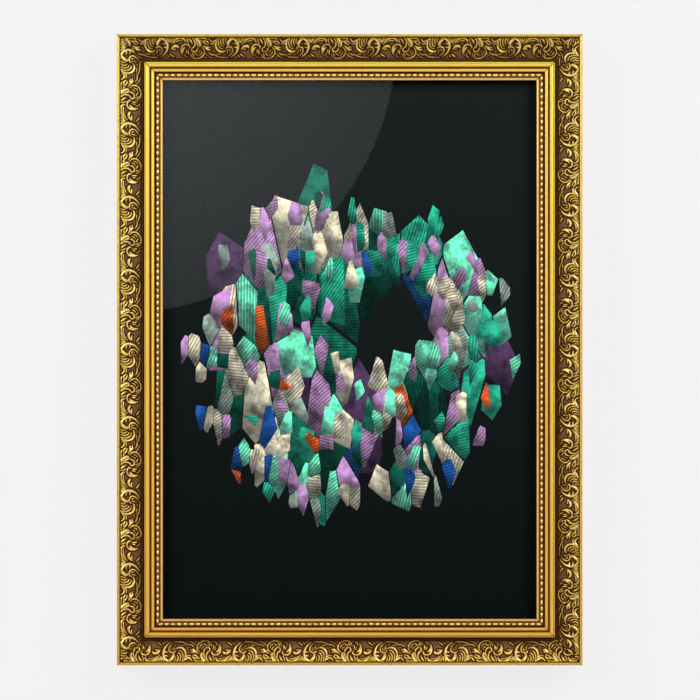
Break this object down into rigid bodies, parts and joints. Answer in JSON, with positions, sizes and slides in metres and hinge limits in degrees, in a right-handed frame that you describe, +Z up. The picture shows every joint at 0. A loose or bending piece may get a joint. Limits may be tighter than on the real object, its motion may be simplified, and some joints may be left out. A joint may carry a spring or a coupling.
{
  "type": "picture frame",
  "caption": "Wall-hung rectangular picture frame: gilded scoop moulding with scroll ornament and a pearl row, glazed, with print, backing board on turn buttons, and ring hangers.",
  "frame": {"origin": "on the wall plane, behind the middle of the picture", "axes": "+X to the viewer's right, +Z up, +Y into the wall, so the picture faces -Y"},
  "size_m": [0.424, 0.0325, 0.574],
  "materials": {
    "gilded_wood": "satin gilding with fine brown strokes, raw wood at the back",
    "gilded_composition": "pressed composition, dark brown with rubbed gold on the ridges",
    "gilded_pearls": "gilded, dark between the pearls",
    "picture_glass": "clear picture glass",
    "print_paper": "matt printed paper",
    "filler_cardboard": "corrugated card",
    "hardboard": "brown hardboard",
    "nail_steel": "bright steel strip",
    "screw_steel": "zinc-plated",
    "brassed_steel": "brass-plated pressed steel",
    "ring_steel": "brass-plated steel wire",
    "bumper_rubber": "soft grey rubber"
  },
  "bodies": {
    "frame": {"art_print": "print_paper", "backing_board": "hardboard", "corner_v_nails": "nail_steel", "filler_card": "filler_cardboard", "glass": "picture_glass", "hanger_screws": "screw_steel", "hanger_strap_left": "brassed_steel", "hanger_strap_right": "brassed_steel", "ornament_bottom": "gilded_composition", "ornament_left": "gilded_composition", "ornament_right": "gilded_composition", "ornament_top": "gilded_composition", "pearl_row_bottom": "gilded_pearls", "pearl_row_left": "gilded_pearls", "pearl_row_right": "gilded_pearls", "pearl_row_top": "gilded_pearls", "rail_bottom": "gilded_wood", "rail_left": "gilded_wood", "rail_right": "gilded_wood", "rail_top": "gilded_wood", "turn_button_screws": "screw_steel", "wall_bumper_left": "bumper_rubber", "wall_bumper_right": "bumper_rubber"},
    "turn_button_top_left": {"turn_button_top_left": "brassed_steel"},
    "turn_button_top_right": {"turn_button_top_right": "brassed_steel"},
    "turn_button_bottom_left": {"turn_button_bottom_left": "brassed_steel"},
    "turn_button_bottom_right": {"turn_button_bottom_right": "brassed_steel"},
    "turn_button_left_upper": {"turn_button_left_upper": "brassed_steel"},
    "turn_button_left_lower": {"turn_button_left_lower": "brassed_steel"},
    "turn_button_right_upper": {"turn_button_right_upper": "brassed_steel"},
    "turn_button_right_lower": {"turn_button_right_lower": "brassed_steel"},
    "ring_left": {"hanger_ring_left": "ring_steel"},
    "ring_right": {"hanger_ring_right": "ring_steel"}
  },
  "joints": [
    {"name": "turn_top_left", "type": "hinge", "parent": "frame", "child": "turn_button_top_left", "pos_m": [-0.0875, -0.0045, 0.259], "axis": [0, 1, 0], "continuous": true},
    {"name": "turn_top_right", "type": "hinge", "parent": "frame", "child": "turn_button_top_right", "pos_m": [0.0875, -0.0045, 0.259], "axis": [0, 1, 0], "continuous": true},
    {"name": "turn_bottom_left", "type": "hinge", "parent": "frame", "child": "turn_button_bottom_left", "pos_m": [-0.0875, -0.0045, -0.259], "axis": [0, 1, 0], "continuous": true},
    {"name": "turn_bottom_right", "type": "hinge", "parent": "frame", "child": "turn_button_bottom_right", "pos_m": [0.0875, -0.0045, -0.259], "axis": [0, 1, 0], "continuous": true},
    {"name": "turn_left_upper", "type": "hinge", "parent": "frame", "child": "turn_button_left_upper", "pos_m": [-0.184, -0.0045, 0.125], "axis": [0, 1, 0], "continuous": true},
    {"name": "turn_left_lower", "type": "hinge", "parent": "frame", "child": "turn_button_left_lower", "pos_m": [-0.184, -0.0045, -0.125], "axis": [0, 1, 0], "continuous": true},
    {"name": "turn_right_upper", "type": "hinge", "parent": "frame", "child": "turn_button_right_upper", "pos_m": [0.184, -0.0045, 0.125], "axis": [0, 1, 0], "continuous": true},
    {"name": "turn_right_lower", "type": "hinge", "parent": "frame", "child": "turn_button_right_lower", "pos_m": [0.184, -0.0045, -0.125], "axis": [0, 1, 0], "continuous": true},
    {"name": "swing_ring_left", "type": "hinge", "parent": "frame", "child": "ring_left", "pos_m": [-0.194, -0.00254, 0.172], "axis": [-1, 0, 0], "range_deg": [0, 180]},
    {"name": "swing_ring_right", "type": "hinge", "parent": "frame", "child": "ring_right", "pos_m": [0.194, -0.00254, 0.172], "axis": [-1, 0, 0], "range_deg": [0, 180]}
  ]
}
